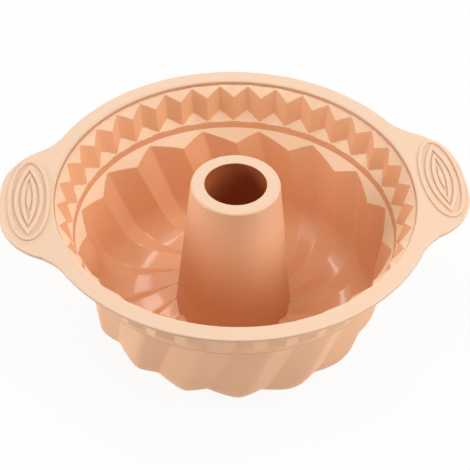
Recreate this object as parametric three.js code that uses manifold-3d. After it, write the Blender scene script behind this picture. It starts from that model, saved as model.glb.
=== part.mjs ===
// Silicone ring cake mould with twisted flutes, a zigzag band, a centre tube and two grip handles.
// Millimetres, +Z up. The origin is on the table, on the axis of the centre tube, and the
// handles lie along X. One moulding, modelled as its zones, which meet on flat faces.
import * as THREE from 'three';
import { mergeVertices } from 'three/addons/utils/BufferGeometryUtils.js';
import Module from 'manifold-3d';

// Shell and rim
const RIM_HEIGHT = 100; // rim top above the table
const MOUTH_RADIUS = 108; // inner edge of the rim
const RIM_WIDTH = 10;
const RIM_THICKNESS = 2.4;
const WALL = 2.2; // thickness of the moulded wall
const WALL_DRAFT = 9; // degrees off upright, of the teeth and of the fluted wall
const FOOT_TRIM = 0.5; // depth of the flat lands under the flute ridges

// Zigzag band below the rim
const TOOTH_COUNT = 36;
const TOOTH_DEPTH = 5.1; // from a notch to the edge of a tooth
const NOTCH_INSET = 1.8; // tops of the notches inside the mouth radius
const NOTCH_DROP = 0.2; // tops of the notches below the rim's underside
const TOOTH_SLOPE = 49; // degrees, fall of the facets above the teeth
const BAND_DEPTH = 25; // feet of the teeth below the rim top
const NOTCH_FOOT_RISE = 4.6; // feet of the notches above the feet of the teeth
const LEDGE_WIDTH = 0.6; // narrow ledge inside the feet of the teeth
const LEDGE_DROP = 1.5;
const STEP_DROP = 4; // steep step below the ledge
const STEP_INSET = 1;

// Fluted bowl
const FLUTE_COUNT = 16;
const FLUTE_DEPTH = 4.5; // from a valley to a crest, square to the wall
const FLUTE_LEAN = 16; // degrees between a flute and straight down the wall
const FLOOR_LEAN = 27; // degrees between a flute and straight to the axis on the floor
const FLUTE_SLOPE = 50; // degrees, fall of the facets above the flutes
const FLUTE_START = 7.4; // degrees from +X to the top of the first valley
const WIDE_FACE_SHARE = 0.6; // of a flute's pitch, the rest is its narrow face
const SHOULDER = 0.3; // valleys inside the foot of the step
const HEAD_DROP = 1.7; // tops of the valleys below the foot of the step
const FLOOR_RADIUS = 25; // between the wall and the floor
const FLOOR_RISE = 5; // tube root above the lowest circle of the floor

// Centre tube
const TUBE_STANDOFF = 6; // tube top above the rim top
const TUBE_TOP_RADIUS = 26.7;
const TUBE_WALL = 8.1;
const TUBE_DRAFT = 5.8; // degrees off upright
const COLLAR_HEIGHT = 3; // plain root of the tube above the flute crests

// Handles and their grip ovals
const HANDLE_LENGTH = 21.5; // beyond the rim
const HANDLE_HALF_WIDTH = 45.4; // of the sides, where they cross the rim's radius
const HANDLE_TAPER = 21; // degrees between a side and the handle's axis
const HANDLE_CORNER = 40;
const HANDLE_ROOT_FILLET = 33;
const GRIP_CENTRE = 5.4; // beyond the rim
const GRIP_LENGTH = 68.5; // of the round outer oval
const GRIP_BREADTH = 25.2;
const GRIP_LENS_LENGTH = 60; // of the pointed oval inside it
const GRIP_INNER_LENGTH = 45; // of the pointed oval inside that
const GRIP_SPINE_LENGTH = 20;
const GRIP_RIDGE = 1.9; // width of a ridge
const GRIP_PITCH = 4; // between ridges, across the handle
const GRIP_HEIGHT = 0.9;

// Fineness of the facets
const RIM_SIDES = 144;
const TUBE_SIDES = 48;
const WALL_ROWS = 8;
const FLOOR_ROWS = 7;
const ARC_STEPS = 12;

const FULL_TURN = 2 * Math.PI;
const MERGE_TOLERANCE = 1e-5;
const SILICONE = { color: 0xf2bd94, roughness: 0.5, metalness: 0 };

const wasm = await Module();
wasm.setup();

const radians = THREE.MathUtils.degToRad;
const slope = (degrees) => Math.tan(radians(degrees));

// Levels and radii that the zones share
const bandTop = RIM_HEIGHT - RIM_THICKNESS;
const toothFoot = RIM_HEIGHT - BAND_DEPTH;
const ledgeFoot = toothFoot - LEDGE_DROP;
const stepFoot = ledgeFoot - STEP_DROP;
const rimRadius = MOUTH_RADIUS + RIM_WIDTH;
const tubeTop = RIM_HEIGHT + TUBE_STANDOFF;
const tubeRadiusAt = (height) => TUBE_TOP_RADIUS + (tubeTop - height) * slope(TUBE_DRAFT);
const boreRadiusAt = (height) => tubeRadiusAt(height) - TUBE_WALL;
const cutterSize = 4 * rimRadius; // wider than the whole mould

/** A closed solid as a manifold, from a geometry that is closed once its vertices are merged. */
function toSolid(geometry) {
  const bare = geometry.clone();
  bare.deleteAttribute('normal');
  bare.deleteAttribute('uv');
  const merged = mergeVertices(bare, MERGE_TOLERANCE);
  return new wasm.Manifold(new wasm.Mesh({
    numProp: 3,
    vertProperties: new Float32Array(merged.attributes.position.array),
    triVerts: new Uint32Array(merged.index.array),
  }));
}

/** The geometry of a manifold. */
function toGeometry(solid) {
  const mesh = solid.getMesh();
  const geometry = new THREE.BufferGeometry();
  geometry.setAttribute('position', new THREE.BufferAttribute(mesh.vertProperties, 3));
  geometry.setIndex(new THREE.BufferAttribute(mesh.triVerts, 1));
  geometry.computeVertexNormals();
  return geometry;
}

/** A ring of points in polar form: one { angle, radius, height } for each step round the axis. */
function circle(sides, radius, height, start = 0) {
  const step = FULL_TURN / sides;
  return Array.from({ length: sides }, (_, k) => ({ angle: start + k * step, radius, height }));
}

/** Position of a polar point. */
function place({ angle, radius, height }) {
  return new THREE.Vector3(radius * Math.cos(angle), radius * Math.sin(angle), height);
}

/** Triangles that join two rings point to point, each panel split along its shorter diagonal. */
function panels(first, second, firstStart, secondStart) {
  return first.flatMap((point, k) => {
    const next = (k + 1) % first.length;
    const corners = [firstStart + k, firstStart + next, secondStart + next, secondStart + k];
    const falling = place(point).distanceTo(place(second[next]));
    const rising = place(first[next]).distanceTo(place(second[k]));
    const [a, b, c, d] = corners;
    return falling < rising ? [a, b, c, a, c, d] : [a, b, d, b, c, d];
  });
}

/** Triangles that join two uneven rings, taking the next point of whichever ring is behind. */
function zipper(first, second, firstStart, secondStart) {
  const triangles = [];
  const angleAt = (ring, k) => ring[k % ring.length].angle + Math.floor(k / ring.length) * FULL_TURN;
  const lag = Math.round((first[0].angle - second[0].angle) / FULL_TURN) * FULL_TURN;
  const gaps = second.map((point) => Math.abs(point.angle + lag - first[0].angle));
  const lead = gaps.indexOf(Math.min(...gaps));
  let i = 0;
  let j = 0;
  while (i < first.length || j < second.length) {
    const a = firstStart + (i % first.length);
    const b = secondStart + ((lead + j) % second.length);
    const firstIsBehind = angleAt(first, i + 1) <= angleAt(second, lead + j + 1) + lag;
    if (j === second.length || (i < first.length && firstIsBehind)) {
      i += 1;
      triangles.push(a, firstStart + (i % first.length), b);
    } else {
      j += 1;
      triangles.push(a, secondStart + ((lead + j) % second.length), b);
    }
  }
  return triangles;
}

/** A solid that goes once round the axis: its skin runs from ring to ring and back to the first. */
function loft(rings) {
  const points = [];
  const starts = [];
  for (const ring of rings) {
    starts.push(points.length / 3);
    points.push(...ring.flatMap((point) => place(point).toArray()));
  }
  const triangles = rings.flatMap((ring, k) => {
    const next = (k + 1) % rings.length;
    const join = ring.length === rings[next].length ? panels : zipper;
    return join(ring, rings[next], starts[k], starts[next]);
  });
  const geometry = new THREE.BufferGeometry();
  geometry.setAttribute('position', new THREE.Float32BufferAttribute(points, 3));
  geometry.setIndex(triangles);
  return toSolid(geometry);
}

/** The band's zigzag ring: notches and tooth edges in turn, each with its radius and height. */
function toothRing(notch, edge) {
  const step = FULL_TURN / (2 * TOOTH_COUNT);
  return Array.from({ length: 2 * TOOTH_COUNT }, (_, k) => {
    const place = k % 2 === 0 ? notch : edge;
    return { angle: k * step, radius: place.radius, height: place.height };
  });
}

/** The same ring on the outside of the wall: out by its thickness, and down by it under ledges. */
function outside({ radius, height }) {
  return { radius: radius + WALL, height: height - WALL };
}

const notchTop = {
  radius: MOUTH_RADIUS - NOTCH_INSET,
  height: bandTop - NOTCH_DROP,
};
const edgeTop = {
  radius: notchTop.radius - TOOTH_DEPTH,
  height: notchTop.height - TOOTH_DEPTH * slope(TOOTH_SLOPE),
};
const notchFoot = {
  radius: notchTop.radius - (notchTop.height - toothFoot - NOTCH_FOOT_RISE) * slope(WALL_DRAFT),
  height: toothFoot + NOTCH_FOOT_RISE,
};
const edgeFoot = {
  radius: edgeTop.radius - (edgeTop.height - toothFoot) * slope(WALL_DRAFT),
  height: toothFoot,
};
const ledgeRadius = edgeFoot.radius - LEDGE_WIDTH;
const stepRadius = ledgeRadius - STEP_INSET;
const bandSides = 2 * TOOTH_COUNT;

/** Ring of upright teeth, from the underside of the rim to the foot of the step. */
function zigzagBand() {
  return loft([
    circle(bandSides, MOUTH_RADIUS, bandTop),
    toothRing(notchTop, edgeTop),
    toothRing(notchFoot, edgeFoot),
    circle(bandSides, ledgeRadius, ledgeFoot),
    circle(bandSides, stepRadius, stepFoot),
    circle(bandSides, ledgeRadius + WALL, stepFoot),
    toothRing(outside(notchFoot), outside(edgeFoot)),
    toothRing(outside(notchTop), outside(edgeTop)),
    circle(bandSides, MOUTH_RADIUS + WALL, bandTop),
  ]);
}

/** Points of the bowl's meridian along a valley, moved square to the wall by an offset. */
function meridian(offset, topHeight) {
  const floorHeight = WALL - FOOT_TRIM;
  const draft = radians(WALL_DRAFT);
  const valleyTop = { radius: stepRadius - SHOULDER, height: stepFoot };
  const turn = Math.PI / 2 - draft;
  const tangent = FLOOR_RADIUS * Math.tan(turn / 2);
  const corner = valleyTop.radius - (valleyTop.height - floorHeight) * Math.tan(draft);
  const lowest = corner - tangent;
  const rootRadius = tubeRadiusAt(floorHeight + FLOOR_RISE);
  const reach = lowest - rootRadius;
  const dish = (reach * reach + FLOOR_RISE * FLOOR_RISE) / (2 * FLOOR_RISE);
  const outer = FLOOR_RADIUS + offset;
  const inner = dish + offset;
  const floorCentre = floorHeight + FLOOR_RADIUS;
  const dishCentre = floorHeight + dish;
  const wallFoot = {
    radius: lowest + outer * Math.cos(draft),
    height: floorCentre - outer * Math.sin(draft),
  };
  const wallHead = {
    radius: wallFoot.radius + (topHeight - wallFoot.height) * Math.tan(draft),
    height: topHeight,
  };
  const points = [];
  for (let k = 0; k < WALL_ROWS; k += 1) {
    const share = k / WALL_ROWS;
    points.push(new THREE.Vector2(
      THREE.MathUtils.lerp(wallHead.radius, wallFoot.radius, share),
      THREE.MathUtils.lerp(wallHead.height, wallFoot.height, share),
    ));
  }
  for (let k = 0; k < FLOOR_ROWS; k += 1) {
    const angle = THREE.MathUtils.lerp(-draft, -Math.PI / 2, k / FLOOR_ROWS);
    points.push(new THREE.Vector2(
      lowest + outer * Math.cos(angle),
      floorCentre + outer * Math.sin(angle),
    ));
  }
  const rootTurn = Math.asin(reach / dish);
  for (let k = 0; k <= FLOOR_ROWS; k += 1) {
    const angle = rootTurn * k / FLOOR_ROWS;
    points.push(new THREE.Vector2(
      lowest - inner * Math.sin(angle),
      dishCentre - inner * Math.cos(angle),
    ));
  }
  return points;
}

/** How far a flute has turned round the axis at each point of a meridian, leaning more on the floor. */
function twist(points) {
  let turned = 0;
  return points.map((point, k) => {
    if (k > 0) {
      const middle = (point.x + points[k - 1].x) / 2;
      const onFloor = THREE.MathUtils.clamp((k - WALL_ROWS) / FLOOR_ROWS, 0, 1);
      const lean = THREE.MathUtils.lerp(FLUTE_LEAN, FLOOR_LEAN, onFloor);
      turned += point.distanceTo(points[k - 1]) * slope(lean) / middle;
    }
    return turned;
  });
}

/** Fluted rings from the top of the flutes to the tube root: valley, crest and middle of a wide face. */
function fluteRings(valley, crest) {
  const pitch = FULL_TURN / FLUTE_COUNT;
  const turned = twist(valley);
  return valley.map((valleyPoint, row) => {
    const middle = valleyPoint.clone().lerp(crest[row], 0.5);
    const flute = [
      { share: 0, point: valleyPoint },
      { share: 1 - WIDE_FACE_SHARE, point: crest[row] },
      { share: 1 - WIDE_FACE_SHARE / 2, point: middle },
    ];
    const start = radians(FLUTE_START) - turned[row];
    return Array.from({ length: FLUTE_COUNT }, (_, k) => flute.map(({ share, point }) => (
      { angle: start + (k + share) * pitch, radius: point.x, height: point.y }
    ))).flat();
  });
}

/** Fluted wall and floor with the collar at the tube root, open through the bore. */
function flutedBowl() {
  const valleyHead = stepFoot - HEAD_DROP;
  const crestFall = FLUTE_DEPTH / Math.cos(radians(WALL_DRAFT));
  const crestHead = valleyHead - crestFall / (1 / slope(FLUTE_SLOPE) - slope(WALL_DRAFT));
  const valley = meridian(0, valleyHead);
  const crest = meridian(-FLUTE_DEPTH, crestHead);
  const outerValley = meridian(WALL, valleyHead - WALL);
  const outerCrest = meridian(WALL - FLUTE_DEPTH, crestHead - WALL);
  const insideRings = fluteRings(valley, crest);
  const outsideRings = fluteRings(outerValley, outerCrest);
  const crestRoot = crest[crest.length - 1];
  const collarTop = crestRoot.y + COLLAR_HEIGHT;
  const boreFoot = outerValley[outerValley.length - 1].y;
  const tubeSide = FULL_TURN / TUBE_SIDES;
  const rootStart = Math.round(insideRings.at(-1)[0].angle / tubeSide) * tubeSide;
  const bowl = loft([
    circle(bandSides, stepRadius, stepFoot),
    ...insideRings,
    circle(TUBE_SIDES, tubeRadiusAt(collarTop), collarTop, rootStart),
    circle(TUBE_SIDES, boreRadiusAt(collarTop), collarTop, rootStart),
    circle(TUBE_SIDES, boreRadiusAt(boreFoot), boreFoot, rootStart),
    ...outsideRings.reverse(),
    circle(bandSides, ledgeRadius + WALL, stepFoot),
  ]);
  const belowTable = new THREE.BoxGeometry(cutterSize, cutterSize, cutterSize);
  belowTable.translate(0, 0, -cutterSize / 2);
  return { solid: bowl.subtract(toSolid(belowTable)), collarTop };
}

/** Tapered tube with its bore, from the collar to its flat top. */
function centreTube(foot) {
  const profile = [
    new THREE.Vector2(boreRadiusAt(foot), foot),
    new THREE.Vector2(tubeRadiusAt(foot), foot),
    new THREE.Vector2(tubeRadiusAt(tubeTop), tubeTop),
    new THREE.Vector2(boreRadiusAt(tubeTop), tubeTop),
    new THREE.Vector2(boreRadiusAt(foot), foot),
  ];
  const geometry = new THREE.LatheGeometry(profile, TUBE_SIDES);
  geometry.rotateX(Math.PI / 2);
  return toSolid(geometry);
}

/** Extruded plate with its underside at a height. */
function plate(shape, thickness, underside) {
  const geometry = new THREE.ExtrudeGeometry(shape, {
    depth: thickness,
    bevelEnabled: false,
    curveSegments: ARC_STEPS,
  });
  geometry.translate(0, 0, underside);
  return toSolid(geometry);
}

/** Centre of an arc that touches a handle's side line, at a given distance from the mould's axis. */
function arcCentre(sidePoint, sideDirection, sideNormal, radius, distance) {
  const base = sidePoint.clone().addScaledVector(sideNormal, radius);
  const along = base.dot(sideDirection);
  const travel = -along + Math.sqrt(along * along - base.lengthSq() + distance * distance);
  return base.addScaledVector(sideDirection, travel);
}

/** Outline of the handle on the +X side, running back under the rim. */
function handleShape() {
  const tip = rimRadius + HANDLE_LENGTH;
  const taper = radians(HANDLE_TAPER);
  const direction = new THREE.Vector2(Math.cos(taper), -Math.sin(taper));
  const outward = new THREE.Vector2(Math.sin(taper), Math.cos(taper));
  const side = new THREE.Vector2(rimRadius, HANDLE_HALF_WIDTH);
  const corner = arcCentre(side, direction, outward.clone().negate(), HANDLE_CORNER, tip - HANDLE_CORNER);
  const root = arcCentre(side, direction, outward, HANDLE_ROOT_FILLET, rimRadius + HANDLE_ROOT_FILLET);
  const cornerAngle = corner.angle();
  const sideAngle = outward.angle();
  const rootAngle = root.angle();
  const hub = MOUTH_RADIUS + RIM_WIDTH / 2;
  const shape = new THREE.Shape();
  shape.moveTo(hub * Math.cos(rootAngle), -hub * Math.sin(rootAngle));
  shape.absarc(root.x, -root.y, HANDLE_ROOT_FILLET, Math.PI - rootAngle, Math.PI - sideAngle, true);
  shape.absarc(corner.x, -corner.y, HANDLE_CORNER, -sideAngle, -cornerAngle, false);
  shape.absarc(0, 0, tip, -cornerAngle, cornerAngle, false);
  shape.absarc(corner.x, corner.y, HANDLE_CORNER, cornerAngle, sideAngle, false);
  shape.absarc(root.x, root.y, HANDLE_ROOT_FILLET, Math.PI + sideAngle, Math.PI + rootAngle, true);
  shape.lineTo(hub * Math.cos(rootAngle), hub * Math.sin(rootAngle));
  shape.absarc(0, 0, hub, rootAngle, -rootAngle, true);
  return shape;
}

/** A closed oval round a centre: an ellipse, or two arcs that meet in points. */
function oval(Path, centre, halfLength, halfBreadth, pointed) {
  const path = new Path();
  if (!pointed) {
    path.absellipse(centre, 0, halfBreadth, halfLength, 0, FULL_TURN, false, 0);
    return path;
  }
  const radius = (halfLength * halfLength + halfBreadth * halfBreadth) / (2 * halfBreadth);
  const reach = Math.asin(halfLength / radius);
  path.absarc(centre + halfBreadth - radius, 0, radius, -reach, reach, false);
  path.absarc(centre - halfBreadth + radius, 0, radius, Math.PI - reach, Math.PI + reach, false);
  return path;
}

/** Raised ovals on the +X handle: a round one, two pointed ones and a spine along the middle. */
function gripRidges() {
  const centre = rimRadius + GRIP_CENTRE;
  const sunk = RIM_THICKNESS / 2;
  const raise = (shape) => plate(shape, GRIP_HEIGHT + sunk, RIM_HEIGHT - sunk);
  const ridges = [GRIP_LENGTH, GRIP_LENS_LENGTH, GRIP_INNER_LENGTH].map((length, turn) => {
    const halfLength = length / 2;
    const halfBreadth = GRIP_BREADTH / 2 - turn * GRIP_PITCH;
    const pointed = turn > 0;
    const shape = oval(THREE.Shape, centre, halfLength, halfBreadth, pointed);
    const tipThickness = pointed ? 2 * GRIP_RIDGE : GRIP_RIDGE;
    shape.holes.push(
      oval(THREE.Path, centre, halfLength - tipThickness, halfBreadth - GRIP_RIDGE, pointed),
    );
    return raise(shape);
  });
  ridges.push(raise(oval(THREE.Shape, centre, GRIP_SPINE_LENGTH / 2, GRIP_RIDGE / 2, true)));
  return ridges;
}

/** The flat rim with both handles, cut into rim and handles by planes across the handles' roots. */
function rimAndHandles() {
  const ringShape = new THREE.Shape();
  circle(RIM_SIDES, rimRadius, 0).forEach(({ angle, radius }, k) => {
    const move = k === 0 ? 'moveTo' : 'lineTo';
    ringShape[move](radius * Math.cos(angle), radius * Math.sin(angle));
  });
  const mouth = new THREE.Path();
  circle(bandSides, MOUTH_RADIUS, 0).forEach(({ angle, radius }, k) => {
    const move = k === 0 ? 'moveTo' : 'lineTo';
    mouth[move](radius * Math.cos(angle), radius * Math.sin(angle));
  });
  ringShape.holes.push(mouth);
  let flange = plate(ringShape, RIM_THICKNESS, bandTop);
  for (const piece of [plate(handleShape(), RIM_THICKNESS, bandTop), ...gripRidges()]) {
    flange = flange.add(piece).add(piece.rotate([0, 0, 180]));
  }
  const split = MOUTH_RADIUS + RIM_WIDTH / 2;
  const cutter = new THREE.BoxGeometry(cutterSize, cutterSize, cutterSize);
  cutter.translate(split + cutterSize / 2, 0, 0);
  const beyond = toSolid(cutter);
  const handle = flange.intersect(beyond);
  const rim = flange.subtract(beyond).subtract(beyond.rotate([0, 0, 180]));
  return { rim, handle };
}

const mould = new THREE.Group();

/** Adds one zone of the moulding to the group. */
function addZone(name, solid) {
  const mesh = new THREE.Mesh(toGeometry(solid), new THREE.MeshStandardMaterial(SILICONE));
  mesh.name = name;
  mould.add(mesh);
  return mesh;
}

const bowl = flutedBowl();
const { rim, handle } = rimAndHandles();
addZone('fluted_bowl', bowl.solid);
addZone('centre_tube', centreTube(bowl.collarTop));
addZone('zigzag_band', zigzagBand());
addZone('rim_flange', rim);
addZone('right_handle', handle);
addZone('left_handle', handle.rotate([0, 0, 180]));

export default mould;
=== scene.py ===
"""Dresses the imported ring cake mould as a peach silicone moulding.

The mould is one moulding. Its zones are separate pieces that meet in its creases, and each stands for
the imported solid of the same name. Sizes are in millimetres, and the meshes are in metres.
"""
import logging
import math
from abc import ABC, abstractmethod
from dataclasses import dataclass
from enum import Enum
from typing import Callable, Sequence

import bmesh
import bpy
from mathutils import Matrix, Vector


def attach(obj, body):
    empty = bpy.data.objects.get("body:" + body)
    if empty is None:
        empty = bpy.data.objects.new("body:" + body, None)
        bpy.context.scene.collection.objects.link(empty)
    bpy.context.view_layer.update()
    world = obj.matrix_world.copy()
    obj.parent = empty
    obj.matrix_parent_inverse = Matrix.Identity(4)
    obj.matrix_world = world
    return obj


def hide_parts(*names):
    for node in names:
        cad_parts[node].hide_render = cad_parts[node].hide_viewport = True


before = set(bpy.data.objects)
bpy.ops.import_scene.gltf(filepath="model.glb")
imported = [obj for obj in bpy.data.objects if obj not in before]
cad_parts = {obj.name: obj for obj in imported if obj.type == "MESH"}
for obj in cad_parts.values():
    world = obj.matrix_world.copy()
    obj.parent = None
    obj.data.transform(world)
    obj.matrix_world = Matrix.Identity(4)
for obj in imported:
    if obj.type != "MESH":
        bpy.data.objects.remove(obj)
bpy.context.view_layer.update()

MM = 0.001
FULL_TURN = 2.0 * math.pi
BODY = "root"
WHITE = (1.0, 1.0, 1.0, 1.0)

logging.basicConfig(level=logging.INFO, format="%(message)s")
log = logging.getLogger("mould")

Place = tuple[float, float]
Colour = tuple[float, float, float]
GridPoint = tuple[int, int]
NodeLink = tuple[bpy.types.Node, str | int, bpy.types.Node, str | int]


class Zone(Enum):
    """Zones of the moulding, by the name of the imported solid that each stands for."""

    BOWL = "fluted_bowl"
    TUBE = "centre_tube"
    BAND = "zigzag_band"
    RIM = "rim_flange"
    RIGHT_HANDLE = "right_handle"
    LEFT_HANDLE = "left_handle"

    @property
    def form(self) -> str:
        """Name of the piece that shows the zone."""
        return f"{self.value}_form"


class Side(Enum):
    """The two sides of the mould that carry a handle, by their turn from +X in radians."""

    RIGHT = 0.0
    LEFT = math.pi


class Socket(Enum):
    """Kinds of socket that the node groups have, by Blender's name."""

    VALUE = "NodeSocketFloat"
    COLOUR = "NodeSocketColor"


def slope(degrees: float) -> float:
    """Run for each unit of rise, or the other way round, at an angle."""
    return math.tan(math.radians(degrees))


def between(first: Place, second: Place, share: float) -> Place:
    """The place that lies a share of the way from one place to another.

    Args:
        first: The place where the way starts.
        second: The place where it ends.
        share: The share, from 0 to 1.

    Returns:
        The place.
    """
    return (
        first[0] + (second[0] - first[0]) * share,
        first[1] + (second[1] - first[1]) * share,
    )


@dataclass(frozen=True)
class MouldSizes:
    """Sizes that the zones share.

    Lengths are in millimetres and angles in degrees. Heights are above the table, and radii are from the
    axis of the centre tube.
    """

    rim_height: float = 100.0
    mouth_radius: float = 108.0
    rim_width: float = 10.0
    rim_thickness: float = 2.4
    wall: float = 2.2
    wall_draft: float = 9.0
    tooth_depth: float = 5.1
    notch_inset: float = 1.8
    notch_drop: float = 0.2
    tooth_slope: float = 49.0
    band_depth: float = 25.0
    notch_foot_rise: float = 4.6
    ledge_width: float = 0.3
    ledge_drop: float = 1.5
    step_drop: float = 4.0
    step_inset: float = 1.0
    tube_top_radius: float = 26.7
    tube_wall: float = 8.1
    tube_standoff: float = 6.0
    tube_draft: float = 5.8

    @property
    def band_top(self) -> float:
        """Height of the rim's underside."""
        return self.rim_height - self.rim_thickness

    @property
    def rim_radius(self) -> float:
        """Outer radius of the rim."""
        return self.mouth_radius + self.rim_width

    @property
    def notch_top(self) -> Place:
        """Top of a notch between two teeth."""
        return (self.mouth_radius - self.notch_inset, self.band_top - self.notch_drop)

    @property
    def edge_top(self) -> Place:
        """Top of the edge of a tooth."""
        radius, height = self.notch_top
        return (radius - self.tooth_depth, height - self.tooth_depth * slope(self.tooth_slope))

    @property
    def edge_foot(self) -> Place:
        """Foot of the edge of a tooth."""
        return self.drafted(self.edge_top, self.rim_height - self.band_depth)

    @property
    def notch_foot(self) -> Place:
        """Foot of a notch between two teeth."""
        return self.drafted(self.notch_top, self.edge_foot[1] + self.notch_foot_rise)

    @property
    def ledge(self) -> Place:
        """Inner edge of the ledge under the teeth."""
        radius, height = self.edge_foot
        return (radius - self.ledge_width, height - self.ledge_drop)

    @property
    def step(self) -> Place:
        """Foot of the step, where the fluted bowl begins."""
        radius, height = self.ledge
        return (radius - self.step_inset, height - self.step_drop)

    @property
    def tube_top(self) -> float:
        """Height of the tube's flat top."""
        return self.rim_height + self.tube_standoff

    def drafted(self, top: Place, height: float) -> Place:
        """The place at a height on a drafted line that comes down from a place."""
        return (top[0] - (top[1] - height) * slope(self.wall_draft), height)

    def tube_radius(self, height: float) -> float:
        """Outer radius of the tube at a height."""
        return self.tube_top_radius + (self.tube_top - height) * slope(self.tube_draft)


@dataclass(frozen=True)
class Ring:
    """One ring of a loft.

    places holds the radius and height of its columns, which repeat round the axis, and turn is how far the
    ring is turned from where the loft began.
    """

    places: tuple[Place, ...]
    turn: float = 0.0

    @classmethod
    def circle(cls, radius: float, height: float, turn: float = 0.0) -> "Ring":
        """A plain round ring."""
        return cls(((radius, height),), turn)


class RingLoft:
    """A closed skin drawn ring by ring round the Z axis with Blender's edit tools."""

    def __init__(self, name: str, columns: int, first: Ring) -> None:
        """Starts the skin from a circle.

        Args:
            name: Name of the piece.
            columns: Number of points in every ring.
            first: The first ring.
        """
        bpy.ops.object.select_all(action="DESELECT")
        start = first.places[0]
        bpy.ops.mesh.primitive_circle_add(
            vertices=columns, radius=start[0] * MM, fill_type="NOTHING", location=(0.0, 0.0, 0.0)
        )
        self.piece = bpy.context.object
        self.piece.name = name
        self.piece.data.name = name
        self.columns = columns
        self.rows = 1
        bpy.ops.object.mode_set(mode="EDIT")
        bpy.ops.transform.translate(value=(0.0, 0.0, start[1] * MM))
        self.last = Ring.circle(*start)
        self._shape(first)

    def _pick(self, rows: Sequence[int], columns: Callable[[int], bool] = lambda column: True) -> None:
        """Selects the points of some rows.

        Args:
            rows: Numbers of the rows.
            columns: Tells whether a column is picked.
        """
        bpy.ops.mesh.select_all(action="DESELECT")
        grid = bmesh.from_edit_mesh(self.piece.data)
        grid.verts.ensure_lookup_table()
        for row in rows:
            for column in range(self.columns):
                if columns(column):
                    grid.verts[row * self.columns + column].select = True
        grid.select_flush(True)

    def _shape(self, ring: Ring) -> None:
        """Moves the last row from the places it has to those of a ring.

        Args:
            ring: Where the row goes.
        """
        turn = ring.turn - self.last.turn
        if turn:
            bpy.ops.transform.rotate(value=-turn, orient_axis="Z", center_override=(0.0, 0.0, 0.0))
        kinds = max(len(ring.places), len(self.last.places))
        for kind in range(kinds):
            old = self.last.places[kind % len(self.last.places)]
            new = ring.places[kind % len(ring.places)]
            if kinds > 1:
                self._pick([self.rows - 1], lambda column: column % kinds == kind)
            if old[0] != new[0]:
                factor = new[0] / old[0]
                bpy.ops.transform.resize(value=(factor, factor, 1.0), center_override=(0.0, 0.0, 0.0))
            if old[1] != new[1]:
                bpy.ops.transform.translate(value=(0.0, 0.0, (new[1] - old[1]) * MM))
        self._pick([self.rows - 1])
        self.last = ring

    def to(self, ring: Ring) -> None:
        """Extrudes the open edge and moves it to the next ring.

        Args:
            ring: The next ring.
        """
        bpy.ops.mesh.extrude_edges_move()
        self.rows += 1
        self._shape(ring)

    def close(self, rounded: Callable[[GridPoint, GridPoint], float]) -> bpy.types.Object:
        """Bridges the last ring to the first and marks the edges that get rounded.

        Args:
            rounded: Gives the share of the bevel for an edge, from the row and column of its two ends.

        Returns:
            The finished piece, out of edit mode.
        """
        self._pick([0, self.rows - 1])
        bpy.ops.mesh.bridge_edge_loops()
        bpy.ops.mesh.select_all(action="SELECT")
        bpy.ops.mesh.normals_make_consistent(inside=False)
        bpy.ops.object.mode_set(mode="OBJECT")
        mesh = self.piece.data
        weights = mesh.attributes.new("bevel_weight_edge", "FLOAT", "EDGE")
        for edge in mesh.edges:
            ends = [divmod(point, self.columns) for point in edge.vertices]
            weights.data[edge.index].value = rounded(ends[0], ends[1])
        return self.piece


def activate(piece: bpy.types.Object) -> None:
    """Selects a piece alone and makes it the active object.

    Args:
        piece: The piece.
    """
    bpy.ops.object.select_all(action="DESELECT")
    piece.select_set(True)
    bpy.context.view_layer.objects.active = piece


def copy_of(piece: bpy.types.Object) -> bpy.types.Object:
    """Copies a piece with a mesh of its own.

    Args:
        piece: The piece.

    Returns:
        The copy.
    """
    copy = piece.copy()
    copy.data = piece.data.copy()
    bpy.context.collection.objects.link(copy)
    return copy


def finish_with(piece: bpy.types.Object, kind: str, **settings: object) -> None:
    """Adds a modifier to a piece and applies it.

    Args:
        piece: The piece.
        kind: Blender's name of the modifier.
        settings: Values of the modifier's properties.
    """
    activate(piece)
    modifier = piece.modifiers.new(kind.title(), kind)
    for key, value in settings.items():
        setattr(modifier, key, value)
    bpy.ops.object.modifier_apply(modifier=modifier.name)


def round_edges(piece: bpy.types.Object, radius: float, facets: int) -> None:
    """Rounds the marked edges of a piece.

    Args:
        piece: The piece.
        radius: Width of the rounding.
        facets: Facets across the rounding.
    """
    finish_with(
        piece, "BEVEL", width=radius * MM, segments=facets, limit_method="WEIGHT",
        offset_type="OFFSET", use_clamp_overlap=True,
    )


def shade_smooth(piece: bpy.types.Object, sharp: float) -> None:
    """Shades a piece smooth, but for edges sharper than an angle in degrees."""
    activate(piece)
    bpy.ops.object.shade_smooth_by_angle(angle=math.radians(sharp))


def flatten_broad_faces(piece: bpy.types.Object) -> None:
    """Leaves the smooth shading of a piece to its rounded edges, so that its broad faces look flat."""
    finish_with(piece, "WEIGHTED_NORMAL", keep_sharp=True)


def set_inputs(node: bpy.types.Node, values: dict[str, object]) -> None:
    """Sets inputs of a node by name."""
    for name, value in values.items():
        node.inputs[name].default_value = value


def add_node(
    tree: bpy.types.NodeTree, kind: str, values: dict[str, object] | None = None, **settings: object
) -> bpy.types.Node:
    """Adds a node to a tree.

    Args:
        tree: The tree.
        kind: Blender's name of the kind of node, after ShaderNode.
        values: Values of its inputs, by name.
        settings: Values of its properties.

    Returns:
        The node.
    """
    node = tree.nodes.new(f"ShaderNode{kind}")
    for key, value in settings.items():
        setattr(node, key, value)
    set_inputs(node, values or {})
    return node


def join(tree: bpy.types.NodeTree, *links: NodeLink) -> None:
    """Links nodes of a tree.

    Args:
        tree: The tree.
        links: For each link, the node and the output that it leaves, and the node and the input it goes to.
    """
    for source, output, target, entry in links:
        tree.links.new(source.outputs[output], target.inputs[entry])


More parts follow.
